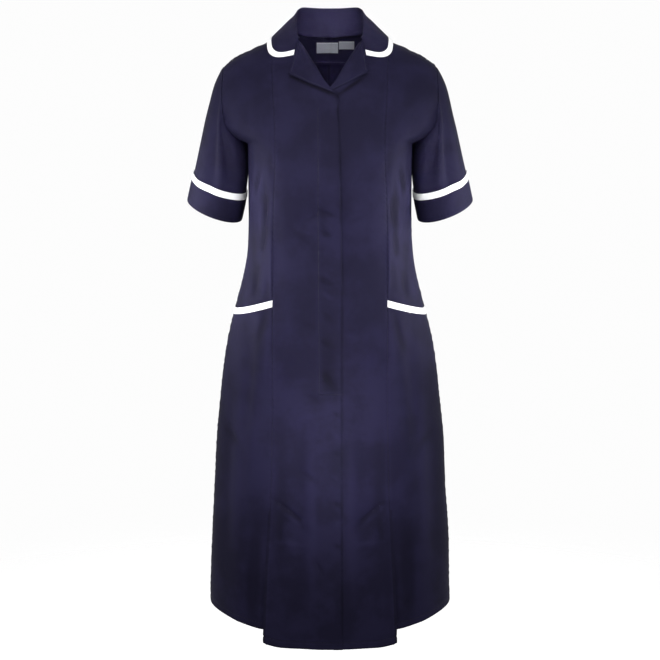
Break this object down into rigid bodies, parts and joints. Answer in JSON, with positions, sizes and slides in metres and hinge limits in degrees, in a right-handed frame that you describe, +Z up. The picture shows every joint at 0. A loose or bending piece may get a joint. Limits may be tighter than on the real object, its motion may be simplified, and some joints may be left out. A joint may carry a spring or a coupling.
{
  "type": "nurse uniform dress",
  "caption": "Princess-line uniform dress with short cuffed sleeves, round collar with revers, concealed front placket, hip pockets, kick pleats and contrast trim.",
  "frame": {"origin": "midway between the two points where the shoulder seams meet the neck, level with them", "axes": "+Z up along the wearer's back, -Y out of the dress's front, +X to the wearer's left"},
  "size_m": [0.5096, 0.3401, 1.1155],
  "materials": {
    "front_right_cloth": "navy polyester-cotton twill with a soft sheen",
    "front_left_cloth": "navy polyester-cotton twill with a soft sheen",
    "side_front_right_cloth": "navy polyester-cotton twill with a soft sheen",
    "side_front_left_cloth": "navy polyester-cotton twill with a soft sheen",
    "side_skirt_right_cloth": "navy polyester-cotton twill with a soft sheen",
    "side_skirt_left_cloth": "navy polyester-cotton twill with a soft sheen",
    "side_back_right_cloth": "navy polyester-cotton twill with a soft sheen",
    "side_back_left_cloth": "navy polyester-cotton twill with a soft sheen",
    "back_right_cloth": "navy polyester-cotton twill with a soft sheen",
    "back_left_cloth": "navy polyester-cotton twill with a soft sheen",
    "sleeve_right_cloth": "navy polyester-cotton twill with a soft sheen",
    "sleeve_left_cloth": "navy polyester-cotton twill with a soft sheen",
    "cuff_right_cloth": "navy polyester-cotton twill with a soft sheen",
    "cuff_left_cloth": "navy polyester-cotton twill with a soft sheen",
    "pleat_right_cloth": "navy polyester-cotton twill with a soft sheen",
    "pleat_left_cloth": "navy polyester-cotton twill with a soft sheen",
    "lapel_right_cloth": "navy polyester-cotton twill with a soft sheen",
    "lapel_left_cloth": "navy polyester-cotton twill with a soft sheen",
    "collar_cloth": "navy polyester-cotton twill with a soft sheen",
    "button_fly_cloth": "navy polyester-cotton twill with a soft sheen",
    "back_neck_facing_cloth": "navy polyester-cotton twill with a soft sheen",
    "collar_trim_cloth": "white polyester-cotton twill binding",
    "cuff_trim_right_cloth": "white polyester-cotton twill binding",
    "cuff_trim_left_cloth": "white polyester-cotton twill binding",
    "pocket_trim_right_cloth": "white polyester-cotton twill binding",
    "pocket_trim_left_cloth": "white polyester-cotton twill binding",
    "neck_label_cloth": "bare woven label",
    "size_label_cloth": "bare woven label"
  },
  "bodies": {
    "root": {"front_right": "front_right_cloth", "front_left": "front_left_cloth", "side_front_right": "side_front_right_cloth", "side_front_left": "side_front_left_cloth", "side_skirt_right": "side_skirt_right_cloth", "side_skirt_left": "side_skirt_left_cloth", "side_back_right": "side_back_right_cloth", "side_back_left": "side_back_left_cloth", "back_right": "back_right_cloth", "back_left": "back_left_cloth", "sleeve_right": "sleeve_right_cloth", "sleeve_left": "sleeve_left_cloth", "cuff_right": "cuff_right_cloth", "cuff_left": "cuff_left_cloth", "pleat_right": "pleat_right_cloth", "pleat_left": "pleat_left_cloth", "lapel_right": "lapel_right_cloth", "lapel_left": "lapel_left_cloth", "collar": "collar_cloth", "button_fly": "button_fly_cloth", "back_neck_facing": "back_neck_facing_cloth", "collar_trim": "collar_trim_cloth", "cuff_trim_right": "cuff_trim_right_cloth", "cuff_trim_left": "cuff_trim_left_cloth", "pocket_trim_right": "pocket_trim_right_cloth", "pocket_trim_left": "pocket_trim_left_cloth", "neck_label": "neck_label_cloth", "size_label": "size_label_cloth"}
  },
  "joints": []
}
